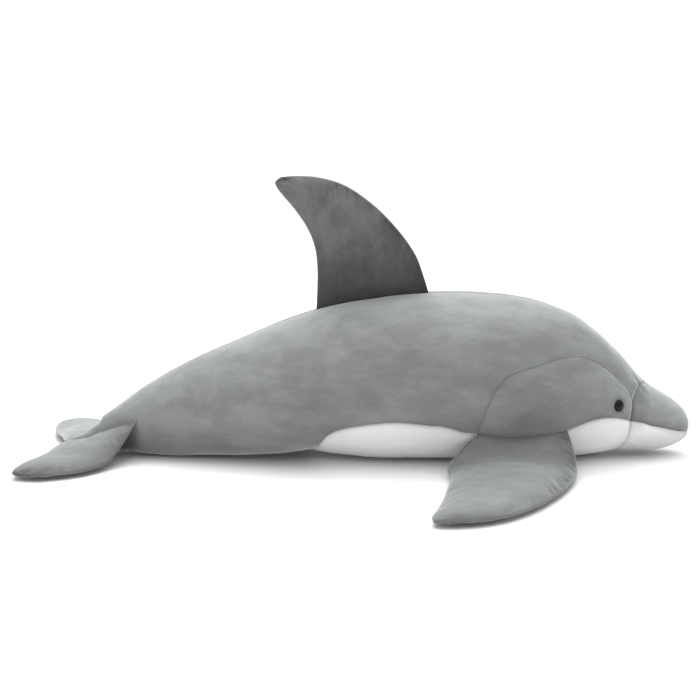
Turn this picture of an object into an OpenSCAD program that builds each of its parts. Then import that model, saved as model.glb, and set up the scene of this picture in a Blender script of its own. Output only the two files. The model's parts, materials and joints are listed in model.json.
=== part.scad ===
// Stuffed plush dolphin lying on its belly: sewn fabric panels, loose filling,
// five stuffed fins that flap on their seams, and two safety eyes with washers.
// Axes: +X to the beak, +Y to the animal's left, +Z up, floor at Z = 0.

/* [Body] */
// Length from the rear of the tail fin to the tip of the beak
toy_length = 1208; // [1100:4:1300]
// Height of the back above the floor
back_height = 300; // [280:5:315]
// Width across the widest part of the body
body_width = 304; // [290:2:320]
// Thickness of the plush fabric with its backing
fabric = 2.5; // [2:0.25:3]

/* [Fins] */
// Height of the dorsal fin's tip above the floor
dorsal_top = 510; // [490:5:530]
// Reach of a flipper's tip from the toy's centre line
flipper_reach = 440; // [420:2:470]
// Reach of a tail lobe's tip from the toy's centre line
lobe_reach = 190; // [180:2:210]
// Loft of a stuffed fin above its seam, at the thickest point
fin_loft = 20; // [14:1:24]

/* [Eyes] */
// Diameter of the safety eye's dome
eye_d = 22; // [20:1:26]
// Height of the safety eye's dome
eye_dome = 8; // [6:0.5:10]
// Diameter of the safety eye's shank
shank_d = 6; // [5:0.5:7]
// Diameter of the locking washer
washer_d = 28; // [24:1:30]

/* [Hidden] */

grey = [0.60, 0.62, 0.62];
dark_grey = [0.42, 0.44, 0.44];
white = [0.93, 0.93, 0.92];
fibre = [0.97, 0.96, 0.93];

// The tables below are drawn for the nominal size, and these carry them to the chosen one.
kx = toy_length / 1208;
ky = body_width / 304;
kz = back_height / 300;
kd = (dorsal_top - back_height) / 210;

seam_deg = 0.12;       // half the gap at a seam, as an angle round the body
head_gap = 0.8;        // gap at the seam between head and beak
skin_gap = 2.6;        // free space between a curved panel and the filling
half_seam = 0.2;       // half the gap between the two panels of a fin
fin_gap = 0.3;         // free space between a fin's panel and its filling
waist = 0.42;          // height of the widest point, as a share of the section's height
lower_power = 2.05;    // squareness of a section's lower half
upper_power = 2.05;    // squareness of a section's upper half
belly_end = -95;       // station where the white underside ends
head_seam = 480;       // station of the seam between head and beak
beak_tip = 604;        // station of the beak's tip
tail_end = -546;       // station of the tail stock's end
cheek_start = 204;     // station where the cheek panel comes to its point
crown_angle = 135;     // angle round the body above which panel columns are evenly spaced

// The tail bends on an upright round surface across the body, with this centre and radius.
bend_x = -345;
bend_z = 86;
tail_r = 92;
torso_r = 95;
bend_far = -240;       // station just ahead of the bend's surface
bend_near = -390;      // station just behind its centre

// Station along the body, then the back's height, the belly's height and the half width.
profile = [
    [-546, 25, 18, 3.2], [-530, 31, 15, 9], [-510, 39, 12, 16], [-492, 52, 8, 24], [-478, 68, 6, 32],
    [-465, 77, 5, 37], [-440, 94, 4, 45], [-390, 129, 2, 59], [-330, 165, 0, 78], [-240, 207, 0, 104],
    [-150, 245, 5, 128], [-95, 264, 12, 139], [-40, 281, 6, 145], [15, 290, 0, 149],
    [80, 297, -2, 152], [200, 299, -2, 152], [300, 290, -2, 144], [380, 263, 0, 128],
    [430, 231, 5, 112], [470, 193, 12, 92], [505, 152, 11, 73], [525, 132, 9, 64], [560, 109, 14, 51],
    [585, 90, 24, 36], [598, 74, 33, 20], [604, 55, 46, 3.2]
];

// The line where grey meets white: station, then angle round the body from the belly.
belly_seam = [
    [-95, 0], [-94, 9], [-91, 17], [-87, 25], [-82, 32], [-76, 39], [-68, 51], [-58, 60], [-46, 65],
    [-31, 68.5], [-16, 71], [0, 73], [20, 75], [50, 76.5], [70, 76.5], [93, 75.5], [116, 74],
    [137, 73], [153, 71], [167, 68.5], [182, 65.5], [202, 63.5], [226, 62], [261, 61], [296, 62.5],
    [331, 65.5], [358, 69], [384, 76], [410, 82.5], [433, 87], [455, 88.5], [480, 90], [507, 94.5],
    [537, 95.5], [565, 93], [589, 85.5], [604, 74]
];

// The arched seam over the cheek, in the same terms.
cheek_arc = [
    [202, 63.5], [204, 68], [207, 73], [211, 79], [217, 86], [224, 93], [233, 98.5], [243, 103],
    [256, 107], [286, 111.5], [313, 115.5], [334, 119.5], [358, 123.5], [384, 127], [410, 128],
    [433, 127], [455, 124], [470, 119.5], [480, 114]
];

// Every panel edge falls on these stations, so neighbours meet along the same line.
stations = [
    -546, -530, -510, -492, -478, -465, -440, -415, -390, -240, -190, -140, -110, -95, -94, -91, -87,
    -82, -76, -68, -58, -46, -31, -16, 0, 20, 50, 70, 93, 116, 137, 153, 167, 182, 202, 204, 207, 211,
    217, 224, 233, 243, 256, 286, 313, 334, 358, 384, 410, 433, 455, 470, 480, 492, 507, 520, 537, 550,
    565, 577, 589, 598, 604
];

// Fin edges as points in space, from the seam to the tip.
dorsal_front = [[122, 0, 309], [111, 0, 340], [97, 0, 371], [70, 0, 410], [28, 0, 454],
    [-22, 0, 490], [-68, 0, 506], [-110, 0, 510], [-140, 0, 508]];
dorsal_rear = [[-80, 0, 284], [-78, 0, 318], [-78, 0, 352], [-83, 0, 386], [-96, 0, 418],
    [-116, 0, 448], [-136, 0, 472], [-148, 0, 487], [-152, 0, 497]];
flipper_front = [[361, -129, 61], [370, -142, 38], [374, -158, 22], [372, -178, 14], [364, -206, 11.5],
    [348, -246, 11.5], [322, -296, 11.5], [284, -353, 11.5], [238, -401, 11.5], [190, -429, 11.5],
    [144, -440, 11.5]];
flipper_rear = [[202, -143, 61], [176, -149, 42], [158, -154, 24], [151, -167, 14], [153, -190, 11.5],
    [150, -226, 11.5], [142, -270, 11.5], [133, -320, 11.5], [121, -370, 11.5], [109, -412, 11.5],
    [110, -434, 11.5]];
fluke_front = [[-404, -58, 74], [-424, -86, 44], [-440, -110, 22], [-458, -134, 13],
    [-486, -160, 11.5], [-522, -179, 11.5], [-560, -190, 11.5], [-592, -184, 11.5]];
fluke_rear = [[-551, -12, 24], [-558, -36, 20], [-568, -64, 15], [-581, -91, 12], [-593, -116, 11.5],
    [-601, -138, 11.5], [-604, -157, 11.5], [-602, -171, 11.5]];

// ---------- curves ----------

function span_of(t, x, i = 0) = i >= len(t) - 2 || x <= t[i + 1][0] ? i : span_of(t, x, i + 1);

function slope_at(t, k, i) =
    let(a = max(i - 1, 0), b = min(i + 1, len(t) - 1))
    (t[b][k] - t[a][k]) / (t[b][0] - t[a][0]);

// Value of column k of table t at x, on a smooth curve through the table's rows.
function smooth(t, k, x) =
    let(
        i = span_of(t, x),
        h = t[i + 1][0] - t[i][0],
        u = min(max((x - t[i][0]) / h, 0), 1),
        u2 = u * u,
        u3 = u2 * u
    )
    (2 * u3 - 3 * u2 + 1) * t[i][k] + (u3 - 2 * u2 + u) * h * slope_at(t, k, i)
    + (3 * u2 - 2 * u3) * t[i + 1][k] + (u3 - u2) * h * slope_at(t, k, i + 1);

// Value on straight lines between the table's rows, for a seam sampled at those rows.
function straight(t, x) =
    let(i = span_of(t, x), u = min(max((x - t[i][0]) / (t[i + 1][0] - t[i][0]), 0), 1))
    t[i][1] + u * (t[i + 1][1] - t[i][1]);

// Point at share u of a curve through a list of points.
function along(p, u) =
    let(
        n = len(p) - 1,
        i = min(floor(u * n), n - 1),
        f = u * n - i,
        before = p[max(i - 1, 0)],
        after = p[min(i + 2, n)],
        m0 = (p[i + 1] - before) / 2,
        m1 = (after - p[i]) / 2
    )
    (2 * f * f * f - 3 * f * f + 1) * p[i] + (f * f * f - 2 * f * f + f) * m0
    + (3 * f * f - 2 * f * f * f) * p[i + 1] + (f * f * f - f * f) * m1;

// ---------- body surface ----------

// The head seam leans forward over the forehead and sides and back under the chin, with stations near it.
function lean(s, v) =
    let(near = pow(max(0, 1 - pow((s - head_seam) / 80, 2)), 2))
    near * (38 * pow((1 - cos(v)) / 2, 6) - 14 * pow((1 + cos(v)) / 2, 4) + 5 * pow(sin(v), 2));

// The ends draw in with the inset, so that an inner surface stays inside an outer one.
function draw_in(s, inset) =
    inset * (pow(max(0, (s - 560) / (beak_tip - 560)), 2) - pow(max(0, (-500 - s) / 46), 2));

// Point on the body at station s and angle v, 0 under the belly and 180 on the back,
// positive on the right side, moved inwards by inset.
function on_body(s, v, inset = 0) =
    let(
        x = s + lean(s, v),
        top = kz * smooth(profile, 1, x) - inset,
        low = kz * smooth(profile, 2, x) + inset,
        half = ky * smooth(profile, 3, x) - inset,
        mid = low + waist * (top - low),
        upper = abs(v) > 90,
        e = 2 / (upper ? upper_power : lower_power),
        y = -sign(v) * half * pow(abs(sin(v)), e),
        z = mid + (upper ? top - mid : low - mid) * pow(abs(cos(v)), e)
    )
    [kx * (x - draw_in(s, inset)), y, max(z, inset)];

// Station where the body at angle v crosses the bend's surface of radius r, by halving.
function bend_station(v, r, inset, a = bend_x, b = bend_x + 100, n = 16) =
    let(
        m = (a + b) / 2,
        p = on_body(m, v, inset),
        inside = pow(p[0] - kx * bend_x, 2) + pow(p[2] - kz * bend_z, 2) < r * r
    )
    n == 0 ? m : inside ? bend_station(v, r, inset, m, b, n - 1) : bend_station(v, r, inset, a, m, n - 1);

// A grid place is [station, angle, share of the way to the bend's surface, its radius].
function place(q, inset) =
    on_body(q[2] == 0 ? q[0] : q[0] + q[2] * (bend_station(q[1], q[3], inset) - q[0]), q[1], inset);

function sheet(rows, inset) = [for (r = rows) [for (q = r) place(q, inset)]];

function between(a, b) = [for (s = stations) if (s >= a && s <= b) s];
function low_edge(s) =
    s < belly_end ? 0 : s < cheek_arc[0][0] ? straight(belly_seam, s) : straight(cheek_arc, s);

// A row of places from angle lo to angle hi in n equal steps.
function row(s, lo, hi, n, share = 0, r = 0) = [for (j = [0:n]) [s, lo + (hi - lo) * j / n, share, r]];

// A row from the seam below to the seam along the back, evenly spaced over the crown.
function side_row(s, share = 0, r = 0) =
    concat(
        row(s, low_edge(s) + seam_deg, crown_angle - 5, 8, share, r),
        row(s, crown_angle, 180 - seam_deg, 3, share, r)
    );

// A closed ring of places for a filling.
function ring(s, share = 0, r = 0) =
    [for (k = [0:ring_sides - 1]) [s, -180 + 360 * k / ring_sides, share, r]];
ring_sides = 28;

// ---------- solids from rows of points ----------

function flat_list(rows) = [for (r = rows) each r];

// A closed slab between two sheets of points, with a on the side that rows x columns faces.
module slab(a, b) {
    m = len(a);
    n = len(a[0]);
    half = m * n;
    polyhedron(
        points = concat(flat_list(a), flat_list(b)),
        faces = concat(
            [for (i = [0:m - 2], j = [0:n - 2]) each [
                [i * n + j, i * n + j + 1, (i + 1) * n + j + 1],
                [i * n + j, (i + 1) * n + j + 1, (i + 1) * n + j],
                [half + i * n + j, half + (i + 1) * n + j + 1, half + i * n + j + 1],
                [half + i * n + j, half + (i + 1) * n + j, half + (i + 1) * n + j + 1]]],
            [for (i = [0:m - 2]) each [
                [i * n, (i + 1) * n, half + (i + 1) * n],
                [i * n, half + (i + 1) * n, half + i * n],
                [i * n + n - 1, half + (i + 1) * n + n - 1, (i + 1) * n + n - 1],
                [i * n + n - 1, half + i * n + n - 1, half + (i + 1) * n + n - 1]]],
            [for (j = [0:n - 2]) each [
                [j, half + j + 1, j + 1],
                [j, half + j, half + j + 1],
                [(m - 1) * n + j, (m - 1) * n + j + 1, half + (m - 1) * n + j + 1],
                [(m - 1) * n + j, half + (m - 1) * n + j + 1, half + (m - 1) * n + j]]]
        )
    );
}

// A closed loft through rings that run from angle -180 up to 180, with flat ends.
module loft(rings) {
    m = len(rings);
    n = len(rings[0]);
    h = n / 2;
    last = (m - 1) * n;
    polyhedron(
        points = flat_list(rings),
        faces = concat(
            [for (i = [0:m - 2], k = [0:n - 1]) let(k1 = (k + 1) % n) each [
                [i * n + k, i * n + k1, (i + 1) * n + k1],
                [i * n + k, (i + 1) * n + k1, (i + 1) * n + k]]],
            [for (j = [0:h - 1]) let(a = h - j, b = h + j, c = (h + j + 1) % n, d = h - j - 1) each [
                if (j > 0) [last + a, last + b, last + c],
                if (j < h - 1) [last + a, last + c, last + d],
                if (j > 0) [c, b, a],
                if (j < h - 1) [d, c, a]]]
        )
    );
}

// ---------- body panels ----------

// A sewn panel of fabric over rows of places.
module cloth(rows) {
    slab(sheet(rows, 0), sheet(rows, fabric));
}

module on_left() {
    mirror([0, 1, 0]) children();
}

// Side and back of the body, from the bend of the tail to the head seam.
module back_panel() {
    color(grey)
        cloth([
            side_row(bend_far, 1, torso_r),
            side_row(bend_far, 0.5, torso_r),
            for (s = between(bend_far, head_seam)) side_row(s)
        ]);
}

// Side and back of the tail, from the stock's end to the bend.
module tail_panel() {
    color(grey)
        cloth([
            for (s = between(tail_end, bend_near)) side_row(s),
            for (k = [1:3]) side_row(bend_near, k / 3, tail_r)
        ]);
}

// Cheek between the arched seam and the belly seam, pierced for the eye's shank.
module cheek_panel() {
    color(grey)
        difference() {
            cloth([for (s = between(cheek_start, head_seam))
                row(s, straight(belly_seam, s) + seam_deg, straight(cheek_arc, s) - seam_deg, 4)]);
            at_eye() cylinder(h = 40, r = shank_d / 2 + 0.3, center = true, $fn = 32);
        }
}

// White underside, from its round end behind the flippers to the head seam.
// Its middle strip lies flat where the toy's weight presses it on the floor.
module belly_panel() {
    color(white)
        cloth([for (s = between(-94, head_seam))
            let(edge = straight(belly_seam, s) - seam_deg, flat = min(8, edge * 0.3))
            concat(row(s, -edge, -flat, 4), row(s, flat, edge, 4))]);
}

// Grey upper half of the beak, over the top from mouth line to mouth line.
module beak_panel() {
    color(grey)
        translate([head_gap, 0, 0])
            cloth([for (s = between(head_seam, beak_tip))
                let(edge = straight(belly_seam, s) + seam_deg)
                [for (q = row(s, edge, 360 - edge, 12)) [s, q[1] > 180 ? q[1] - 360 : q[1], 0, 0]]]);
}

// White lower half of the beak.
module chin_panel() {
    color(white)
        translate([head_gap, 0, 0])
            cloth([for (s = between(head_seam, beak_tip))
                let(edge = straight(belly_seam, s) - seam_deg) row(s, -edge, edge, 8)]);
}

// Loose fibre that fills the torso and head, with a pocket round each eye's shank and washer.
module torso_filling() {
    rings = [
        ring(bend_far, 1, torso_r),
        ring(bend_far, 0.5, torso_r),
        for (s = between(bend_far, 589)) if (s > -60 || s <= belly_end) ring(s)
    ];
    color(fibre)
        difference() {
            loft(sheet(rings, fabric + skin_gap));
            eye_pocket();
            on_left() eye_pocket();
        }
}

// Loose fibre that fills the tail stock.
module tail_filling() {
    rings = [
        for (s = between(-510, bend_near)) ring(s),
        for (k = [1:3]) ring(bend_near, k / 3, tail_r)
    ];
    color(fibre) loft(sheet(rings, fabric + skin_gap));
}

module eye_pocket() {
    at_eye() translate([0, 0, -26]) cylinder(h = 40, r = washer_d / 2 + 2, $fn = 32);
}

// ---------- eyes ----------

eye_station = 452;
eye_angle = 100;
eye_place = on_body(eye_station, eye_angle);
eye_normal = cross(
    on_body(eye_station + 3, eye_angle) - on_body(eye_station - 3, eye_angle),
    on_body(eye_station, eye_angle + 2) - on_body(eye_station, eye_angle - 2)
);

// Places its children on the right cheek, with their +Z axis pointing out of the fabric.
module at_eye() {
    translate(eye_place)
        rotate([0, acos(eye_normal[2] / norm(eye_normal)), atan2(eye_normal[1], eye_normal[0])])
            children();
}

// Black domed eye with its ribbed shank, in one moulding.
module eye() {
    rib = 0.5;
    r = eye_d / 2;
    color("black")
        at_eye()
            rotate_extrude($fn = 64)
                polygon(concat(
                    [[0, -20], [shank_d / 2 - 0.6, -20], [shank_d / 2, -19]],
                    [for (k = [0:4]) each [
                        [shank_d / 2, -17.5 + 2.4 * k], [shank_d / 2 - rib, -17 + 2.4 * k],
                        [shank_d / 2 - rib, -16 + 2.4 * k], [shank_d / 2, -15.5 + 2.4 * k]]],
                    [[shank_d / 2, 0.9], [r - 1, 0.9]],
                    [for (a = [0:10:80]) [r * cos(a), 1.9 + (eye_dome - 1) * sin(a)]],
                    [[0, 0.9 + eye_dome]]
                ));
}

// Toothed locking washer that grips the shank behind the fabric.
module eye_washer() {
    color("white")
        at_eye()
            translate([0, 0, -7])
                difference() {
                    union() {
                        cylinder(h = 1.4, r = washer_d / 2, $fn = 64);
                        translate([0, 0, -3]) cylinder(h = 3.5, r = shank_d / 2 + 2.4, $fn = 64);
                    }
                    translate([0, 0, -4]) cylinder(h = 8, r = shank_d / 2 + 0.05, $fn = 64);
                }
}

// ---------- fins ----------

function rise(u) = min(1, 0.12 + 1.6 * u) * sqrt(max(0, 1 - pow(u, 5)));
function chord(k, n) = (1 - cos(180 * k / n)) / 2;
function swell(c) = pow(max(0, 4 * c * (1 - c)), 0.6);

// A sheet of points across a fin, lifted along axis n by gap + loft. Rows run to the tip.
function fin_rows(front, rear, n, gap, loft, rows, cols, trim = 0) =
    [for (i = [trim:rows - trim])
        let(u = i / rows, f = along(front, u), r = along(rear, u))
        [for (k = [trim:cols - trim])
            let(c = chord(k, cols))
            r + (f - r) * c + n * (gap + loft * rise(u) * swell(c))]];

// The panel on the side that n points to.
module fin_panel(front, rear, n, loft, rows, cols, facing) {
    outer = fin_rows(front, rear, n, half_seam + fabric, loft, rows, cols);
    inner = fin_rows(front, rear, n, half_seam, loft, rows, cols);
    if (facing) slab(outer, inner);
    else slab(inner, outer);
}

// Fibre between the two panels, short of the edge seam.
module fin_filling(front, rear, n, loft_a, loft_b, rows, cols) {
    color(fibre)
        slab(
            fin_rows(front, rear, n, half_seam - fin_gap, loft_a, rows, cols, 1),
            fin_rows(front, rear, -n, half_seam - fin_gap, loft_b, rows, cols, 1)
        );
}

// Carries a fin's point to the chosen size: k stretches what lies beyond the root.
function carried(q, root, k) =
    [kx * q[0], q[1] > -root ? ky * q[1] : k * (q[1] + root) - ky * root, q[2]];
function carried_up(q) = [kx * q[0], 0, back_height + kd * (q[2] - 300)];

flipper_root = 129;
fluke_root = 58;
kf = (flipper_reach - ky * flipper_root) / (440 - flipper_root);
kt = (lobe_reach - ky * fluke_root) / (190 - fluke_root);
d_front = [for (q = dorsal_front) carried_up(q)];
d_rear = [for (q = dorsal_rear) carried_up(q)];
f_front = [for (q = flipper_front) carried(q, flipper_root, kf)];
f_rear = [for (q = flipper_rear) carried(q, flipper_root, kf)];
t_front = [for (q = fluke_front) carried(q, fluke_root, kt)];
t_rear = [for (q = fluke_rear) carried(q, fluke_root, kt)];

up = [0, 0, 1];
left = [0, 1, 0];
under_loft = 8.6;      // loft of a flat-lying fin below its seam
dorsal_rows = 14;
flipper_rows = 14;
fluke_rows = 12;
fin_cols = 8;

module dorsal_panel_left() {
    color(dark_grey) fin_panel(d_front, d_rear, left, fin_loft, dorsal_rows, fin_cols, true);
}

module dorsal_panel_right() {
    color(dark_grey) fin_panel(d_front, d_rear, -left, fin_loft, dorsal_rows, fin_cols, false);
}

module dorsal_filling() {
    fin_filling(d_front, d_rear, left, fin_loft, fin_loft, dorsal_rows, fin_cols);
}

module flipper_top() {
    color(grey) fin_panel(f_front, f_rear, up, fin_loft, flipper_rows, fin_cols, true);
}

module flipper_bottom() {
    color(grey) fin_panel(f_front, f_rear, -up, under_loft, flipper_rows, fin_cols, false);
}

module flipper_filling() {
    fin_filling(f_front, f_rear, up, fin_loft, under_loft, flipper_rows, fin_cols);
}

module fluke_top() {
    color(grey) fin_panel(t_front, t_rear, up, 0.8 * fin_loft, fluke_rows, fin_cols, true);
}

module fluke_bottom() {
    color(grey) fin_panel(t_front, t_rear, -up, under_loft, fluke_rows, fin_cols, false);
}

module fluke_filling() {
    fin_filling(t_front, t_rear, up, 0.8 * fin_loft, under_loft, fluke_rows, fin_cols);
}

// ---------- nodes ----------

back_panel();  // back_panel_right
on_left() back_panel();  // back_panel_left
cheek_panel();  // cheek_panel_right
on_left() cheek_panel();  // cheek_panel_left
belly_panel();
beak_panel();
chin_panel();
torso_filling();
tail_panel();  // tail_panel_right
on_left() tail_panel();  // tail_panel_left
tail_filling();
eye();  // eye_right
on_left() eye();  // eye_left
eye_washer();  // eye_washer_right
on_left() eye_washer();  // eye_washer_left
dorsal_panel_right();
dorsal_panel_left();
dorsal_filling();
flipper_top();  // flipper_top_right
flipper_bottom();  // flipper_bottom_right
flipper_filling();  // flipper_filling_right
on_left() flipper_top();  // flipper_top_left
on_left() flipper_bottom();  // flipper_bottom_left
on_left() flipper_filling();  // flipper_filling_left
fluke_top();  // fluke_top_right
fluke_bottom();  // fluke_bottom_right
fluke_filling();  // fluke_filling_right
on_left() fluke_top();  // fluke_top_left
on_left() fluke_bottom();  // fluke_bottom_left
on_left() fluke_filling();  // fluke_filling_left
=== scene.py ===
"""Plush dolphin, lying on its belly: sewn plush panels over loose fibre, stuffed fins, safety eyes."""

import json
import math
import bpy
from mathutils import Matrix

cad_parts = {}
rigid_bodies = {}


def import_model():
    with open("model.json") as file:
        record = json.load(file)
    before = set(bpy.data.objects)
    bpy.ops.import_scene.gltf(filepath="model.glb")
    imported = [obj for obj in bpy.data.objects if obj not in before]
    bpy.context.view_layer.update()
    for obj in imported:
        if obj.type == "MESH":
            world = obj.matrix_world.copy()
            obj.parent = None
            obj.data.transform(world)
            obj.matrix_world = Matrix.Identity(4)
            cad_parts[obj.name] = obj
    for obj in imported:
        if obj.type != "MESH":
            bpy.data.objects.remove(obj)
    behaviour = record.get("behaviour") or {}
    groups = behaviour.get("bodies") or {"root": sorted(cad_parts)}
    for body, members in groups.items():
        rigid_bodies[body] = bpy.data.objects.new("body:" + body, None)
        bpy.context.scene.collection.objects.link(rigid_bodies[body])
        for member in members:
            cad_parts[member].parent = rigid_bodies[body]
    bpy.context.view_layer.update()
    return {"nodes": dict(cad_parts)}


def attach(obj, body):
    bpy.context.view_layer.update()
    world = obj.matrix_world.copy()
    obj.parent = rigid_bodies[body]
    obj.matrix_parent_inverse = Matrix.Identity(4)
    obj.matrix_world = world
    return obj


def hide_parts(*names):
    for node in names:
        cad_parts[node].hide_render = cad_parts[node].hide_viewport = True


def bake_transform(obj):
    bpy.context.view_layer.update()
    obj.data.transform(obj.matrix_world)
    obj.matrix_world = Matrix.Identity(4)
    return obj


bl_info = {
    "name": "Plush Dolphin",
    "version": (1, 0, 0),
    "blender": (4, 5, 0),
    "location": "View3D > Sidebar > Plush Dolphin",
    "description": "Sews and stuffs a large plush dolphin around its packed frame",
    "category": "Add Mesh",
}

import bmesh
import bpy
import numpy as np
from bpy.props import FloatProperty, FloatVectorProperty, IntProperty, PointerProperty
from mathutils import Vector, kdtree, noise

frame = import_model()
MM = 0.001

# ---------------------------------------------------------------- the pattern

# Station along the body, then the back's height, the belly's height and the half width, in mm.
PROFILE = np.array([
    [-550, 22, 20, 0.6], [-546, 25, 18, 3.2], [-530, 31, 15, 9], [-510, 39, 12, 16], [-492, 52, 8, 24],
    [-478, 68, 6, 32], [-465, 77, 5, 37], [-440, 94, 4, 45], [-390, 129, 2, 59], [-330, 165, 0, 78],
    [-240, 207, 0, 104], [-150, 245, 5, 128], [-95, 264, 12, 139], [-40, 281, 6, 145], [15, 290, 0, 149],
    [80, 297, -2, 152], [200, 299, -2, 152], [300, 290, -2, 144], [380, 263, 0, 128],
    [430, 231, 5, 112], [470, 193, 12, 92], [505, 152, 11, 73], [525, 132, 9, 64], [560, 109, 14, 51],
    [585, 90, 24, 36], [598, 74, 33, 21], [602.5, 62, 41, 11], [604, 54, 48, 1],
])

# The line where grey meets white: station in mm, then angle round the body from the belly.
BELLY_SEAM = np.array([
    [-95, 0], [-94, 9], [-91, 17], [-87, 25], [-82, 32], [-76, 39], [-68, 51], [-58, 60], [-46, 65],
    [-31, 68.5], [-16, 71], [0, 73], [20, 75], [50, 76.5], [70, 76.5], [93, 75.5], [116, 74],
    [137, 73], [153, 71], [167, 68.5], [182, 65.5], [202, 63.5], [226, 62], [261, 61], [296, 62.5],
    [331, 65.5], [358, 69], [384, 76], [410, 82.5], [433, 87], [455, 88.5], [480, 90], [507, 94.5],
    [537, 95.5], [565, 93], [589, 85.5], [604, 74],
])

# The arched seam over the cheek, in the same terms.
CHEEK_ARC = np.array([
    [202, 63.5], [204, 68], [207, 73], [211, 79], [217, 86], [224, 93], [233, 98.5], [243, 103],
    [256, 107], [286, 111.5], [313, 115.5], [334, 119.5], [358, 123.5], [384, 127], [410, 128],
    [433, 127], [455, 124], [470, 119.5], [480, 114],
])

HEAD_SEAM = 480
TAIL_END = -550
BEAK_TIP = 604
BELLY_END = -95
CHEEK_START = 202
WAIST = 0.42
LOWER_POWER = 2.05
UPPER_POWER = 2.05
EYE_STATION = 452
EYE_ANGLE = 100

# Fin edges from the root seam to the tip, in mm.
DORSAL_FRONT = [[124, 0, 298], [112, 0, 336], [98, 0, 370], [70, 0, 410], [28, 0, 454],
                [-22, 0, 490], [-68, 0, 506], [-110, 0, 510], [-140, 0, 508]]
DORSAL_REAR = [[-80, 0, 272], [-78, 0, 314], [-78, 0, 351], [-83, 0, 386], [-96, 0, 418],
               [-116, 0, 448], [-136, 0, 472], [-148, 0, 487], [-152, 0, 497]]
FLIPPER_FRONT = [[361, -124, 62], [370, -139, 38], [374, -156, 21], [372, -177, 13], [364, -206, 11],
                 [348, -246, 11], [322, -296, 11], [284, -353, 11], [238, -401, 11],
                 [190, -429, 11], [144, -439, 11]]
FLIPPER_REAR = [[202, -137, 66], [178, -144, 44], [158, -150, 25], [150, -164, 14], [153, -190, 11],
                [150, -226, 11], [142, -270, 11], [133, -320, 11], [121, -370, 11],
                [109, -412, 11], [110, -434, 11]]
FLUKE_FRONT = [[-404, -54, 74], [-424, -86, 42], [-440, -110, 21], [-458, -134, 13],
               [-486, -160, 11], [-522, -179, 11], [-560, -189, 11], [-592, -183, 11]]
FLUKE_REAR = [[-545, -3, 26], [-556, -34, 21], [-567, -64, 15], [-581, -91, 12], [-593, -116, 12],
              [-601, -138, 12], [-604, -157, 12], [-602, -171, 12]]

# Root seams of a tail lobe along the stock, above and below: station, then angle.
LOBE_SEAM_ABOVE = np.array([[-544, 150], [-505, 122], [-480, 113], [-455, 113], [-430, 112], [-402, 111]])
LOBE_SEAM_BELOW = np.array([[-544, 30], [-505, 50], [-470, 62], [-440, 80], [-402, 111]])


# ---------------------------------------------------------------- curves and the body's form

def smooth(table, column, x):
    """A smooth curve through a table's rows, at the stations x."""
    xs, ys = table[:, 0], table[:, column]
    before, after = np.maximum(np.arange(len(xs)) - 1, 0), np.minimum(np.arange(len(xs)) + 1, len(xs) - 1)
    slopes = (ys[after] - ys[before]) / (xs[after] - xs[before])
    return hermite(xs, ys, slopes, x)


def steady(table, x):
    """A smooth curve through a two-column table that never swings past its rows."""
    xs, ys = table[:, 0], table[:, 1]
    steps = np.diff(ys) / np.diff(xs)
    slopes = np.zeros(len(xs))
    same = steps[1:] * steps[:-1] > 0
    inner = np.zeros(len(steps) - 1)
    inner[same] = 2 * steps[1:][same] * steps[:-1][same] / (steps[1:] + steps[:-1])[same]
    slopes[1:-1] = inner
    slopes[0], slopes[-1] = steps[0], steps[-1]
    return hermite(xs, ys, slopes, x)


def hermite(xs, ys, slopes, x):
    x = np.clip(np.asarray(x, float), xs[0], xs[-1])
    i = np.clip(np.searchsorted(xs, x, side="right") - 1, 0, len(xs) - 2)
    h = xs[i + 1] - xs[i]
    u = (x - xs[i]) / h
    return ((2 * u**3 - 3 * u**2 + 1) * ys[i] + (u**3 - 2 * u**2 + u) * h * slopes[i]
            + (3 * u**2 - 2 * u**3) * ys[i + 1] + (u**3 - u**2) * h * slopes[i + 1])


def along(points, u):
    """Points at shares u of a smooth curve through a list of points, in metres."""
    p = np.array(points, float) * MM
    n = len(p) - 1
    u = np.clip(np.asarray(u, float), 0, 1)
    i = np.minimum((u * n).astype(int), n - 1)
    f = (u * n - i)[..., None]
    m0 = (p[i + 1] - p[np.maximum(i - 1, 0)]) / 2
    m1 = (p[np.minimum(i + 2, n)] - p[i]) / 2
    return ((2 * f**3 - 3 * f**2 + 1) * p[i] + (f**3 - 2 * f**2 + f) * m0
            + (3 * f**2 - 2 * f**3) * p[i + 1] + (f**3 - f**2) * m1)


def ease(x):
    """Turns smoothly from 0 to 1 as x goes from 0 to 1."""
    x = np.clip(x, 0, 1)
    return x * x * (3 - 2 * x)


def lean(s, v):
    """The head seam leans forward over the forehead and sides, and back under the chin."""
    near = np.maximum(0, 1 - ((s - HEAD_SEAM) / 80) ** 2) ** 2
    return near * (38 * ((1 - np.cos(v)) / 2) ** 6 - 14 * ((1 + np.cos(v)) / 2) ** 4 + 5 * np.sin(v) ** 2)


def on_body(s, angle, inset=0.0):
    """Points on the body at stations s and angles round it, 0 under the belly and 180 on the back."""
    s, angle = np.broadcast_arrays(np.asarray(s, float), np.asarray(angle, float))
    v = np.radians(angle)
    x = s + lean(s, v)
    top = smooth(PROFILE, 1, x) - inset
    low = smooth(PROFILE, 2, x) + inset
    half = np.maximum(smooth(PROFILE, 3, x) - inset, 0.2)
    mid = low + WAIST * (top - low)
    upper = np.cos(v) < 0
    e = np.where(upper, 2 / UPPER_POWER, 2 / LOWER_POWER)
    y = -np.sign(np.sin(v)) * half * np.abs(np.sin(v)) ** e
    z = mid + np.where(upper, top - mid, low - mid) * np.abs(np.cos(v)) ** e
    return np.stack([x, y, np.maximum(z, inset + 0.6)], -1) * MM


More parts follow.
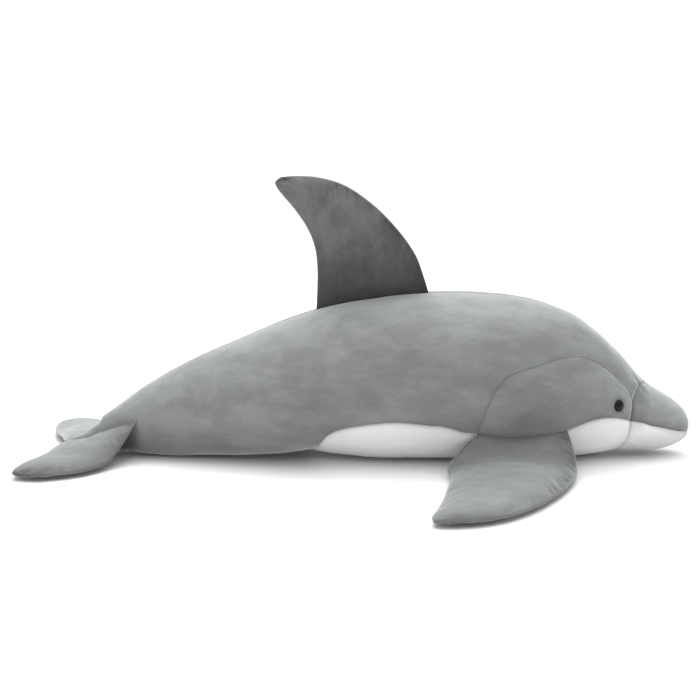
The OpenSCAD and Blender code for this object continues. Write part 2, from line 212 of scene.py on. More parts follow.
def body_normals(s, angle):
    ds = on_body(np.asarray(s) + 1.5, angle) - on_body(np.asarray(s) - 1.5, angle)
    dv = on_body(s, np.asarray(angle) + 1.0) - on_body(s, np.asarray(angle) - 1.0)
    n = np.cross(ds, dv)
    length = np.linalg.norm(n, axis=-1, keepdims=True)
    return n / np.maximum(length, 1e-12)


def crest_height(x, y):
    """Height of the back at x and y, in mm."""
    top, low, half = (smooth(PROFILE, k, x) for k in (1, 2, 3))
    mid = low + WAIST * (top - low)
    share = np.clip(np.abs(y) / half, 0, 1)
    return mid + (top - mid) * (1 - share**UPPER_POWER) ** (1 / UPPER_POWER)


# ---------------------------------------------------------------- seams, puckers and lumps

def seam_lines():
    """Each seam of the body: its points, the groove's depth and reach, and its puckers, in mm."""
    run = np.arange(TAIL_END + 2, HEAD_SEAM, 2.0)
    belly = np.arange(BELLY_END, BEAK_TIP, 1.0)
    cheek = np.arange(CHEEK_START, HEAD_SEAM, 1.5)
    both = (1, -1)
    return {
        "back": (on_body(run, 180.0), 0.8, 5, 0.2),
        "under_tail": (on_body(run[run < BELLY_END], 0.0), 1.5, 5, 0.4),
        "belly": (np.concatenate([on_body(belly, k * steady(BELLY_SEAM, belly)) for k in both]), 3.4, 6, 0.6),
        "cheek": (np.concatenate([on_body(cheek, k * steady(CHEEK_ARC, cheek)) for k in both]), 3.4, 16, 0.6),
        "head": (on_body(HEAD_SEAM, np.arange(-180, 180, 1.0)), 4.6, 6, 1.4),
    }


def nearest(points, targets):
    """Distance from each point to the nearest target, and that target."""
    tree = kdtree.KDTree(len(targets))
    for i, p in enumerate(targets):
        tree.insert(p, i)
    tree.balance()
    found = [tree.find(p) for p in points]
    return np.array([f[2] for f in found]), np.array([targets[f[1]] for f in found])


def noise_at(points, scale, seed):
    """Smooth noise from about -1 to 1 at each point, for bumps about 1 / scale metres across."""
    q = np.asarray(points) * scale + seed * 17.3
    return np.array([noise.noise(Vector(p)) for p in q])


def bump_at(points, place, spread):
    """A bump of height 1 with a fairly crisp edge at a place and its mirror image; spread is in metres."""
    far = (np.stack([points[:, 0], -np.abs(points[:, 1]), points[:, 2]], -1) - place) / spread
    return np.exp(-(far**4).sum(-1))


def dress(points, normals, bulge=0.0):
    """Moves a panel's points as stuffing and seams would: lumps, sewn grooves, puckers.
    Returns the new points and, for the material, the painted shade of its seam grooves and eye socket, and its
    painted light and shade: lighter facing up, darker facing down, with random tone and the dimples' painted
    shade and light."""
    shape = points.shape
    p, n = points.reshape(-1, 3), normals.reshape(-1, 3)
    move = 2.4 * noise_at(p, 7.0, 1) + 0.9 * noise_at(p, 19.0, 2) + 0.25 * noise_at(p, 55.0, 3)
    crease_shade = np.zeros(len(p))
    edge = np.full(len(p), 1.0)
    for name, (line, depth, reach, pucker) in SEAM_LINES.items():
        d, at = nearest(p, line)
        d_mm = d / MM
        pull = 0.25 + 0.75 * np.exp(-(((at[:, 2] / MM - 92) / 30) ** 2)) if name == "head" else 1.0
        move -= depth * pull * np.exp(-d_mm / reach)
        crumple = noise_at(at, 62.0, 5) + 0.6 * noise_at(at, 130.0, 6)
        move -= pucker * np.exp(-((d_mm / 26) ** 2)) * crumple
        # Painted shade in the seam's groove.
        crease_shade = np.maximum(crease_shade, CREASE_SHADE[name] * pull * np.exp(-d_mm / 4.5))
        if name in ("belly", "cheek", "head"):
            edge = np.minimum(edge, d)
    move += bulge * (1 - np.exp(-edge / MM / 30))
    # Painted light: lighter where the surface faces up, darker where it faces down; the noise is random tone.
    shade = 0.47 + 0.15 * n[:, 2] + 0.04 * noise_at(p, 5.0, 8)
    # Dents with their painted shade, or painted light where the tone is negative.
    for place, spread, depth, tone in DIMPLES:
        here = bump_at(p, np.array(place) * MM, np.array(spread) * MM)
        move -= depth * here
        shade -= tone * here
    seat = 1 - ease((np.linalg.norm(np.stack([p[:, 0], -np.abs(p[:, 1]), p[:, 2]], -1) - EYE_AT, axis=1)
                     / MM - 10) / 14)
    move = move * (1 - seat) - 1.2 * seat
    # Painted shade in the eye's socket.
    crease_shade = np.maximum(crease_shade, 0.5 * seat**2)
    q = p + n * (move * MM)[:, None]
    q[:, 2] = np.maximum(q[:, 2], 0.6 * MM)
    return q.reshape(shape), {"crease_shade": crease_shade.reshape(shape[:2]), "shade": shade.reshape(shape[:2])}


# ---------------------------------------------------------------- meshes

def grid_normals(grid):
    n = np.cross(np.gradient(grid, axis=0), np.gradient(grid, axis=1))
    return n / np.maximum(np.linalg.norm(n, axis=-1, keepdims=True), 1e-12)


def strip_faces(rows, cols, start=0, flip=False):
    i, j = np.meshgrid(np.arange(rows - 1), np.arange(cols - 1), indexing="ij")
    a = (start + i * cols + j).ravel()
    quads = np.stack([a, a + 1, a + cols + 1, a + cols], -1)
    return (quads[:, ::-1] if flip else quads).tolist()


def new_piece(name, points, faces, smooth_shade=True):
    mesh = bpy.data.meshes.new(name)
    mesh.from_pydata([tuple(p) for p in points], [], faces)
    mesh.validate()
    bm = bmesh.new()
    bm.from_mesh(mesh)
    bmesh.ops.remove_doubles(bm, verts=bm.verts, dist=0.00002)
    bmesh.ops.dissolve_degenerate(bm, edges=bm.edges, dist=0.00001)
    bmesh.ops.recalc_face_normals(bm, faces=bm.faces)
    bm.to_mesh(mesh)
    bm.free()
    for f in mesh.polygons:
        f.use_smooth = smooth_shade
    piece = bpy.data.objects.new(name, mesh)
    bpy.context.scene.collection.objects.link(piece)
    return piece


def cloth_piece(name, outer, outward, looks, thickness=1.6 * MM):
    """A closed shell of fabric under a grid of points. outward says which way is out at each point,
    and looks holds values between 0 and 1 that the plush material reads at each point."""
    rows, cols = outer.shape[:2]
    inner = outer - outward * thickness
    inner[..., 2] = np.maximum(inner[..., 2], 1.4 * MM)
    count = rows * cols
    faces = strip_faces(rows, cols) + strip_faces(rows, cols, count, flip=True)
    rim = ([i * cols for i in range(rows)] + [(rows - 1) * cols + j for j in range(1, cols)]
           + [i * cols + cols - 1 for i in range(rows - 2, -1, -1)] + list(range(cols - 2, 0, -1)))
    faces += [[a, b, b + count, a + count] for a, b in zip(rim, rim[1:] + rim[:1])]
    points = np.concatenate([outer.reshape(-1, 3), inner.reshape(-1, 3)])
    mesh = bpy.data.meshes.new(name)
    mesh.from_pydata([tuple(p) for p in points], [], faces)
    for key, values in looks.items():
        attribute = mesh.attributes.new(key, "FLOAT", "POINT")
        attribute.data.foreach_set("value", np.tile(values.ravel(), 2).astype(np.float32))
    bm = bmesh.new()
    bm.from_mesh(mesh)
    bmesh.ops.remove_doubles(bm, verts=bm.verts, dist=0.00002)
    bmesh.ops.dissolve_degenerate(bm, edges=bm.edges, dist=0.00001)
    bmesh.ops.recalc_face_normals(bm, faces=bm.faces)
    bm.to_mesh(mesh)
    bm.free()
    for f in mesh.polygons:
        f.use_smooth = True
    piece = bpy.data.objects.new(name, mesh)
    bpy.context.scene.collection.objects.link(piece)
    return piece


def loft_piece(name, rings):
    """A closed form through rings of points, with its ends drawn to a point."""
    m, n = rings.shape[:2]
    points = np.concatenate([rings.reshape(-1, 3), [rings[0].mean(0)], [rings[-1].mean(0)]])
    faces = [[i * n + k, i * n + (k + 1) % n, (i + 1) * n + (k + 1) % n, (i + 1) * n + k]
             for i in range(m - 1) for k in range(n)]
    faces += [[m * n, (k + 1) % n, k] for k in range(n)]
    faces += [[m * n + 1, (m - 1) * n + k, (m - 1) * n + (k + 1) % n] for k in range(n)]
    return new_piece(name, points, faces)


def spun_piece(name, outline, place, axis, turns=64):
    """A turned form: outline is (radius, height) pairs in mm, set at place with its axis outwards."""
    side = Vector(axis).orthogonal().normalized()
    other = Vector(axis).cross(side)
    points, faces = [], []
    for r, h in outline:
        for k in range(turns):
            a = 2 * math.pi * k / turns
            across = side * math.cos(a) + other * math.sin(a)
            points.append(Vector(place) + (Vector(axis) * h + across * r) * MM)
    for i in range(len(outline) - 1):
        for k in range(turns):
            j = (k + 1) % turns
            faces.append([i * turns + k, i * turns + j, (i + 1) * turns + j, (i + 1) * turns + k])
    faces.append(list(range(turns))[::-1])
    faces.append([(len(outline) - 1) * turns + k for k in range(turns)])
    return new_piece(name, points, faces)


# ---------------------------------------------------------------- materials

def shaded(colour, factor):
    return tuple(min(1.0, c * factor) for c in colour[:3]) + (1.0,)


def colour_between(tree, first, second, share):
    """A colour that goes from first to second as the linked share goes from 0 to 1."""
    node = tree.nodes.new("ShaderNodeMix")
    node.data_type = "RGBA"
    for value, at in ((first, 6), (second, 7)):
        if isinstance(value, tuple):
            node.inputs[at].default_value = value
        else:
            tree.links.new(value, node.inputs[at])
    tree.links.new(share, node.inputs[0])
    return node.outputs[2]


def link_noise(tree, coords, scale, detail, roughness=0.5):
    node = tree.nodes.new("ShaderNodeTexNoise")
    node.inputs["Scale"].default_value = scale
    node.inputs["Detail"].default_value = detail
    node.inputs["Roughness"].default_value = roughness
    tree.links.new(coords, node.inputs["Vector"])
    return node.outputs["Fac"]


def ranged(tree, value, low, high, start=0.0, end=1.0, soft=False):
    """Maps a value from start..end onto low..high."""
    node = tree.nodes.new("ShaderNodeMapRange")
    if soft:
        node.interpolation_type = "SMOOTHSTEP"
    for key, number in (("From Min", start), ("From Max", end), ("To Min", low), ("To Max", high)):
        node.inputs[key].default_value = number
    tree.links.new(value, node.inputs["Value"])
    return node.outputs["Result"]


def reckoned(tree, operation, first, second):
    """A Math node; each value is a number or an output to link."""
    node = tree.nodes.new("ShaderNodeMath")
    node.operation = operation
    for value, at in ((first, 0), (second, 1)):
        if isinstance(value, (int, float)):
            node.inputs[at].default_value = value
        else:
            tree.links.new(value, node.inputs[at])
    return node.outputs[0]


def read_attribute(tree, key):
    node = tree.nodes.new("ShaderNodeAttribute")
    node.attribute_name = key
    return node.outputs["Fac"]


def plush(name, colour, patchiness, sheen, stretch):
    """Short velvety pile: streaks where the nap was brushed another way, fine fibres, painted shade in creases,
    and the painted light and shade that the mesh carries.
    stretch is how fast the streaks change along each axis."""
    material = bpy.data.materials.new(name)
    material.use_nodes = True
    tree = material.node_tree
    nodes, links = tree.nodes, tree.links
    shader = nodes["Principled BSDF"]
    coords = nodes.new("ShaderNodeTexCoord").outputs["Object"]
    brushed = nodes.new("ShaderNodeMapping")
    brushed.inputs["Scale"].default_value = stretch
    links.new(coords, brushed.inputs["Vector"])
    brushed = brushed.outputs["Vector"]

    patches = link_noise(tree, brushed, 1.0, 4.0, 0.62)
    streaks = link_noise(tree, brushed, 3.6, 4.0, 0.65)
    tufts = link_noise(tree, coords, 230.0, 3.0, 0.6)
    fibres = link_noise(tree, coords, 900.0, 2.0, 0.6)

    nap = reckoned(tree, "ADD", ranged(tree, patches, 0.0, 0.62, 0.36, 0.66, True),
                   ranged(tree, streaks, 0.0, 0.38, 0.38, 0.64, True))
    tone = ranged(tree, nap, 1 - patchiness, 1 + patchiness)
    tone = reckoned(tree, "MULTIPLY", tone, ranged(tree, fibres, 0.88, 1.12))
    # Painted light and shade from the mesh, with a little random tone.
    tone = reckoned(tree, "MULTIPLY", tone, ranged(tree, read_attribute(tree, "shade"), 0.30, 1.70))
    # Painted shade in seam grooves, fin folds and fin roots.
    crease_shade = ranged(tree, read_attribute(tree, "crease_shade"), 1.0, 0.34)
    tone = reckoned(tree, "MULTIPLY", tone, crease_shade)
    base = nodes.new("ShaderNodeVectorMath")
    base.operation = "SCALE"
    base.inputs[0].default_value = colour[:3]
    links.new(tone, base.inputs["Scale"])
    links.new(base.outputs["Vector"], shader.inputs["Base Color"])

    links.new(ranged(tree, patches, 0.78, 0.95), shader.inputs["Roughness"])
    shader.inputs["Specular IOR Level"].default_value = 0.2
    shader.inputs["Sheen Weight"].default_value = sheen
    shader.inputs["Sheen Roughness"].default_value = 0.35
    shader.inputs["Sheen Tint"].default_value = (0.93, 0.95, 0.96, 1.0)

    soft = nodes.new("ShaderNodeBump")
    soft.inputs["Strength"].default_value = 0.35
    soft.inputs["Distance"].default_value = 0.0016
    links.new(tufts, soft.inputs["Height"])
    fine = nodes.new("ShaderNodeBump")
    fine.inputs["Strength"].default_value = 0.55
    fine.inputs["Distance"].default_value = 0.0006
    links.new(fibres, fine.inputs["Height"])
    links.new(soft.outputs["Normal"], fine.inputs["Normal"])
    links.new(fine.outputs["Normal"], shader.inputs["Normal"])
    return material


def fibre(name, colour):
    """Loose polyester fluff."""
    material = bpy.data.materials.new(name)
    material.use_nodes = True
    tree = material.node_tree
    shader = tree.nodes["Principled BSDF"]
    coords = tree.nodes.new("ShaderNodeTexCoord").outputs["Object"]
    clumps = link_noise(tree, coords, 60.0, 6.0, 0.7)
    tint = colour_between(tree, shaded(colour, 0.82), shaded(colour, 1.04), clumps)
    tree.links.new(tint, shader.inputs["Base Color"])
    shader.inputs["Roughness"].default_value = 0.95
    shader.inputs["Sheen Weight"].default_value = 0.3
    bump = tree.nodes.new("ShaderNodeBump")
    bump.inputs["Distance"].default_value = 0.004
    tree.links.new(clumps, bump.inputs["Height"])
    tree.links.new(bump.outputs["Normal"], shader.inputs["Normal"])
    return material


def plastic(name, colour, roughness, shine):
    """Moulded plastic with a faint waviness in its gloss."""
    material = bpy.data.materials.new(name)
    material.use_nodes = True
    tree = material.node_tree
    shader = tree.nodes["Principled BSDF"]
    coords = tree.nodes.new("ShaderNodeTexCoord").outputs["Object"]
    wear = link_noise(tree, coords, 420.0, 3.0, 0.6)
    tint = colour_between(tree, shaded(colour, 0.9), shaded(colour, 1.1), wear)
    tree.links.new(tint, shader.inputs["Base Color"])
    gloss = tree.nodes.new("ShaderNodeMapRange")
    gloss.inputs["To Min"].default_value = roughness * 0.8
    gloss.inputs["To Max"].default_value = roughness * 1.3
    tree.links.new(wear, gloss.inputs["Value"])
    tree.links.new(gloss.outputs["Result"], shader.inputs["Roughness"])
    shader.inputs["Specular IOR Level"].default_value = shine
    return material


def finish_of(slot):
    """The material for a slot of the record, made once."""
    name = slot + "_finish"
    if name in bpy.data.materials:
        return bpy.data.materials[name]
    c = bpy.context.scene.dolphin_colours
    makers = {
        "grey_plush": lambda: plush(name, c.grey, 0.22, 1.0, (4.0, 6.5, 8.5)),
        "dark_grey_plush": lambda: plush(name, c.dark_grey, 0.26, 0.9, (13.0, 9.0, 8.0)),
        "white_plush": lambda: plush(name, c.white, 0.03, 0.3, (6.0, 8.0, 9.0)),
        "fibre_filling": lambda: fibre(name, c.fibre),
        "eye_plastic": lambda: plastic(name, c.eye, 0.10, 0.16),
        "washer_plastic": lambda: plastic(name, c.washer, 0.45, 0.5),
    }
    return makers[slot]()


def dress_piece(piece, slot):
    piece.data.materials.clear()
    piece.data.materials.append(finish_of(slot))
    return piece


# ---------------------------------------------------------------- body panels

def even_stations(a, b, cell, edge):
    """Stations from a to b, closer together where the panel's edge runs steeply round the body."""
    fine = np.arange(a, b + 0.25, 0.25)
    line = on_body(fine, edge(fine)) / MM
    steps = 0.5 * np.diff(fine) + 0.5 * np.linalg.norm(np.diff(line, axis=0), axis=1)
    length = np.concatenate([[0], np.cumsum(steps)])
    count = max(8, int(length[-1] / cell))
    return np.interp(np.linspace(0, length[-1], count + 1), length, fine)


def body_panel(name, stations, low, high, columns, bulge=0.0):
    s = stations[:, None]
    t = np.linspace(0, 1, columns + 1)[None, :]
    v = low(stations)[:, None] * (1 - t) + high(stations)[:, None] * t
    s = np.broadcast_to(s, v.shape)
    points, normals = on_body(s, v), body_normals(s, v)
    shaped, looks = dress(points, normals, bulge)
    return cloth_piece(name, shaped, normals, looks)


def side_low(s):
    lower = steady(BELLY_SEAM, s)
    arc = steady(CHEEK_ARC, s)
    return np.where(s < BELLY_END, 0.0, np.where(s < CHEEK_START, lower, np.maximum(arc, lower)))


def constant(value):
    return lambda s: np.full(np.shape(s), float(value))


SIDES = (("right", 1), ("left", -1))


def signed(edge, sign):
    return lambda s: sign * edge(s)


class DOLPHIN_OT_side_panels(bpy.types.Operator):
    """Sew the two long grey panels that run from the forehead to the tail and meet along the back"""

    bl_idname = "dolphin.side_panels"
    bl_label = "Side Panels"

    def execute(self, context):
        sizes = context.scene.dolphin_sizes
        stations = even_stations(TAIL_END, HEAD_SEAM, sizes.cell / MM, side_low)
        for side, sign in SIDES:
            piece = body_panel(f"side_panel_{side}", stations, signed(side_low, sign),
                               constant(180 * sign), 64)
            dress_piece(piece, "grey_plush")
            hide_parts(f"back_panel_{side}", f"tail_panel_{side}")
            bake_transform(piece)
        return {"FINISHED"}


class DOLPHIN_OT_cheeks(bpy.types.Operator):
    """Sew the rounded cheek panels under the arched seams"""

    bl_idname = "dolphin.cheeks"
    bl_label = "Cheeks"

    def execute(self, context):
        sizes = context.scene.dolphin_sizes
        low = lambda s: steady(BELLY_SEAM, s)
        high = lambda s: np.maximum(steady(CHEEK_ARC, s), low(s))
        stations = even_stations(CHEEK_START, HEAD_SEAM, sizes.cell / MM, high)
        for side, sign in SIDES:
            piece = body_panel(f"cheek_{side}", stations, signed(low, sign), signed(high, sign), 32,
                               sizes.cheek_bulge / MM)
            dress_piece(piece, "grey_plush")
            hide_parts(f"cheek_panel_{side}")
            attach(piece, "torso")
        return {"FINISHED"}


class DOLPHIN_OT_belly(bpy.types.Operator):
    """Sew the white underside, which the toy's weight presses flat"""

    bl_idname = "dolphin.belly"
    bl_label = "Belly"

    def execute(self, context):
        sizes = context.scene.dolphin_sizes
        edge = lambda s: steady(BELLY_SEAM, s)
        stations = even_stations(BELLY_END, HEAD_SEAM, sizes.cell / MM, edge)
        piece = body_panel("belly", stations, signed(edge, -1), edge, 72)
        dress_piece(piece, "white_plush")
        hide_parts("belly_panel")
        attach(piece, "torso")
        return {"FINISHED"}


class DOLPHIN_OT_beak(bpy.types.Operator):
    """Sew the grey upper beak and the white lower beak, which meet along the mouth line"""

    bl_idname = "dolphin.beak"
    bl_label = "Beak"

    def execute(self, context):
        sizes = context.scene.dolphin_sizes
        edge = lambda s: steady(BELLY_SEAM, s)
        far = lambda s: 360 - edge(s)
        stations = even_stations(HEAD_SEAM, BEAK_TIP, sizes.cell / MM * 0.7, edge)
        upper = body_panel("upper_beak", stations, edge, far, 72, 0.6)
        lower = body_panel("lower_beak", stations, signed(edge, -1), edge, 56, 0.6)
        for piece, slot, node in ((upper, "grey_plush", "beak_panel"), (lower, "white_plush", "chin_panel")):
            dress_piece(piece, slot)
            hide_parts(node)
            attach(piece, "torso")
        return {"FINISHED"}


# ---------------------------------------------------------------- fins

def swell(c):
    """Thickness across a fin, from 0 at one edge seam to 0 at the other."""
    return np.maximum(0, 4 * c * (1 - c)) ** 0.55


def fin_sheets(front, rear, root_a, root_b, facing, loft_a, loft_b, rows, cols, taper=4.0):
    """The two sheets of a fin before it is crumpled, as grids from root to tip and rear to front.
    root_a and root_b give the two root seams, in metres, for shares across the fin."""
    u = np.linspace(0, 1, rows + 1)
    c = (1 - np.cos(np.pi * np.linspace(0, 1, cols + 1))) / 2
    f, r = along(front, u), along(rear, u)
    mid = r[:, None] + (f - r)[:, None] * c[None, :, None]
    roots = root_a(c), root_b(c)
    middle = (roots[0] + roots[1]) / 2
    mid = mid + (1 - ease(u / 0.3))[:, None, None] * (middle - mid[0])[None]
    outward = (mid[-1] - mid[-6]).mean(0)
    tip = ease((u - 0.86) / 0.14)[:, None] * swell(c)[None, :]
    mid = mid + 3 * MM * tip[..., None] * outward / np.linalg.norm(outward)
    n = grid_normals(mid)
    n = n * np.sign((n * np.array(facing)).sum(-1, keepdims=True))
    thick = np.sqrt(np.maximum(0, 1 - u**taper))[:, None] * swell(c)[None, :]
    length = np.concatenate([[0], np.cumsum(np.linalg.norm(np.diff(mid.mean(1), axis=0), axis=1))])
    free = ease(length / (30 * MM))[:, None, None]
    sheets = []
    for root, loft, way in ((roots[0], loft_a, 1), (roots[1], loft_b, -1)):
        stuffed = mid + n * (way * loft * MM * thick)[..., None]
        held = mid + (root - middle)[None]
        sheets.append(held * (1 - free) + stuffed * free)
    return sheets, mid, n, u, c


def edge_distances(mid, c):
    """For each point of a fin, how far it is from the rear edge, the front edge and the tip."""
    width = np.linalg.norm(mid[:, -1] - mid[:, 0], axis=1)[:, None]
    spine = np.linalg.norm(np.diff(mid[:, len(c) // 2], axis=0), axis=1)
    to_tip = np.concatenate([np.cumsum(spine[::-1])[::-1], [0]])[:, None]
    return c[None, :] * width, (1 - c)[None, :] * width, np.broadcast_to(to_tip, (len(mid), len(c)))


def pucker_fin(sheet, mid, n, u, c, way, strengths, seed, root_tip_shade, floor=None):
    """Gathers a sheet along its edge seams and paints shade into its folds, along its edge seams, along its
    front edge and at its root. strengths are for the rear, the front and the tip, in mm; the root and tip shade
    levels say how light the sheet is painted at the root and at the tip, as painted shade and painted light,
    and a little random tone is added."""
    distances = edge_distances(mid, c)
    move, crease_shade, shade = (np.zeros(sheet.shape[:2]) for k in range(3))
    run = np.concatenate([[0], np.cumsum(np.linalg.norm(np.diff(mid[:, 0], axis=0), axis=1))])[:, None]
    front_run = np.concatenate([[0], np.cumsum(np.linalg.norm(np.diff(mid[:, -1], axis=0), axis=1))])[:, None]
    runs = (run, front_run, c[None, :] * np.linalg.norm(mid[-1, -1] - mid[-1, 0]))
    for k, (d, strength, place) in enumerate(zip(distances, strengths, runs)):
        slanted = np.broadcast_to(place, d.shape) + (0.9 + 10.0 * d) * d
        q = np.stack([slanted.ravel(), d.ravel() * 0.15 + 0.37 * k, np.full(d.size, 0.11 * seed)], -1)
        waves = noise_at(q, 55.0, seed + k).reshape(d.shape)
        fold = np.maximum(0, 1 - 3.2 * np.abs(noise_at(q, 46.0, seed + k + 3).reshape(d.shape)))
        uneven = ease(0.70 + 1.5 * noise_at(q * [1, 0, 1], 13.0, seed + k + 7).reshape(d.shape))
        fade = np.exp(-((d / (23 * MM)) ** 2)) * ease(d / (3.5 * MM))
        move -= strength * fade * uneven * (0.3 + 0.45 * waves + 1.0 * fold)
        # Painted shade in the folds and along the edge seams.
        crease_shade = np.maximum(crease_shade, 0.42 * fold * fade * uneven * min(1.0, strength / 3))
        crease_shade = np.maximum(crease_shade, 0.22 * np.exp(-d / (3 * MM)))
        # Painted shade along the front edge.
        if k == 1:
            shade -= 0.10 * np.exp(-((d / (22 * MM)) ** 2))
    flat = sheet.reshape(-1, 3)
    move += (1.5 * noise_at(flat, 14.0, seed) + 0.6 * noise_at(flat, 40.0, seed + 1)).reshape(move.shape)
    to_root = np.broadcast_to(np.linalg.norm(mid - mid[:1], axis=-1), move.shape)
    # Painted shade at the root seam.
    crease_shade = np.maximum(crease_shade, 0.75 * np.exp(-to_root / (5 * MM)))
    inside = ease(np.minimum(np.minimum(*distances[:2]), distances[2]) / (10 * MM))
    out = sheet + n * (way * move * inside * ease(to_root / (12 * MM)) * MM)[..., None]
    if floor is not None:
        out[..., 2] = np.maximum(out[..., 2], floor)
    # Painted light and shade from the root to the tip, then a little random tone.
    shade = shade + (root_tip_shade[0] + (root_tip_shade[1] - root_tip_shade[0]) * ease(u * 1.6))[:, None]
    shade += 0.07 * noise_at(flat * [1, 1, 0.5], 11.0, seed + 5).reshape(move.shape)
    return out, {"crease_shade": crease_shade, "shade": shade}


def stuff_fin(panels, blend_line, slot, nodes, shape, strengths, seed, root_tip_shade,
              floor=None, mirror=False):
    """Makes a fin's two panels, sewn edge to edge."""
    sheets, mid, n, u, c = shape
    for way, sheet, panel, node in zip((1, -1), sheets, panels, nodes):
        out, looks = pucker_fin(sheet, mid, n, u, c, way, strengths, seed + (0 if way > 0 else 11),
                                root_tip_shade, floor)
        outward = n * way
        if mirror:
            out = out * [1, -1, 1]
            outward = outward * [1, -1, 1]
        piece = cloth_piece(panel, out, outward, looks, thickness=1.2 * MM)
        dress_piece(piece, slot)
        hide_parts(node)
        start, end = (Vector(p) * MM for p in blend_line)
        if mirror:
            start.y, end.y = -start.y, -end.y
        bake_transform(piece)


def dorsal_root(way):
    """One side of the dorsal fin's root seam, lying on the back."""
    def line(c):
        x = -80 + (124 + 80) * c
        y = way * 10 * swell(c)
        return np.stack([x, y, crest_height(x, y) - 2.0], -1) * MM
    return line


class DOLPHIN_OT_dorsal_fin(bpy.types.Operator):
    """Stuff the tall, swept dorsal fin and sew it along the back"""

    bl_idname = "dolphin.dorsal_fin"
    bl_label = "Dorsal Fin"

    def execute(self, context):
        loft = context.scene.dolphin_sizes.dorsal_loft / MM
        shape = fin_sheets(DORSAL_FRONT, DORSAL_REAR, dorsal_root(1), dorsal_root(-1),
                           (0, 1, 0), loft, loft, 130, 76)
        # Painted shade: darker at the root, lighter towards the tip.
        stuff_fin(("dorsal_fin_left", "dorsal_fin_right"),
                  ((21, 0, 292), (16, 0, 334)), "dark_grey_plush",
                  ("dorsal_panel_left", "dorsal_panel_right"), shape, (2.4, 5.5, 1.6), 20, (0.16, 0.76))
        return {"FINISHED"}


def flipper_root(drop):
    """One side of a flipper's root seam, just under the edge of the grey side."""
    def line(c):
        s = 202 + (361 - 202) * c
        return on_body(s, steady(BELLY_SEAM, s) + 2.0 - 1.0 * c**3 - drop * swell(c), 2.5)
    return line


class DOLPHIN_OT_flippers(bpy.types.Operator):
    """Stuff the two flippers, which droop from the seam and lie on the floor"""

    bl_idname = "dolphin.flippers"
    bl_label = "Flippers"

    def execute(self, context):
        loft = context.scene.dolphin_sizes.fin_loft / MM
        shape = fin_sheets(FLIPPER_FRONT, FLIPPER_REAR, flipper_root(0), flipper_root(8),
                           (0, 0, 1), loft, 9, 140, 76)
        for side, sign in SIDES:
            # Painted shade: the flippers are painted darker, a little more at the root.
            stuff_fin((f"flipper_upper_{side}", f"flipper_lower_{side}"),
                      ((281.5, -134, 58), (286, -186, 58)), "grey_plush",
                      (f"flipper_top_{side}", f"flipper_bottom_{side}"), shape, (1.6, 3.6, 1.4), 40,
                      (0.31, 0.42), floor=0.8 * MM, mirror=sign < 0)
        return {"FINISHED"}


def lobe_root(seam):
    """One side of a tail lobe's root seam, along the tail stock."""
    def line(c):
        s = -544 + (-402 + 544) * c
        return on_body(s, steady(seam, s), 2.0)
    return line


def tucked(points):
    """The left lobe's tip, drawn further forward than the right one's."""
    forward = 15 * MM * ease((-points[..., 1] / MM - 70) / 110)
    return points + forward[..., None] * [1, 0, 0]


class DOLPHIN_OT_flukes(bpy.types.Operator):
    """Stuff the two lobes of the level tail fin"""

    bl_idname = "dolphin.flukes"
    bl_label = "Tail Lobes"

    def execute(self, context):
        loft = context.scene.dolphin_sizes.fluke_loft / MM
        above, below = lobe_root(LOBE_SEAM_ABOVE), lobe_root(LOBE_SEAM_BELOW)
        shape = fin_sheets(FLUKE_FRONT, FLUKE_REAR, above, below, (0, 0, 1), loft, 9, 90, 64)
        for side, sign in SIDES:
            if sign < 0:
                shape = ([tucked(sheet) for sheet in shape[0]], tucked(shape[1]), *shape[2:])
            # Painted shade on the near lobe and painted light on the far lobe.
            stuff_fin((f"fluke_upper_{side}", f"fluke_lower_{side}"),
                      ((-478, -30, 46), (-490, -72, 46)), "grey_plush",
                      (f"fluke_top_{side}", f"fluke_bottom_{side}"), shape, (1.2, 2.8, 1.2), 60,
                      (0.38, 0.38) if sign > 0 else (0.66, 0.66), floor=0.8 * MM, mirror=sign < 0)
        return {"FINISHED"}


# ---------------------------------------------------------------- filling and eyes

def fluff(points, centre, seed, height=1.6):
    """Lumps of loose fibre, drawn towards a centre line."""
    flat = points.reshape(-1, 3)
    inwards = centre.reshape(-1, 3) - flat
    inwards /= np.maximum(np.linalg.norm(inwards, axis=1, keepdims=True), 1e-9)
    lumps = height * (0.6 + noise_at(flat, 26.0, seed) + 0.5 * noise_at(flat, 70.0, seed + 1))
    return (flat + inwards * (lumps * MM)[:, None]).reshape(points.shape)


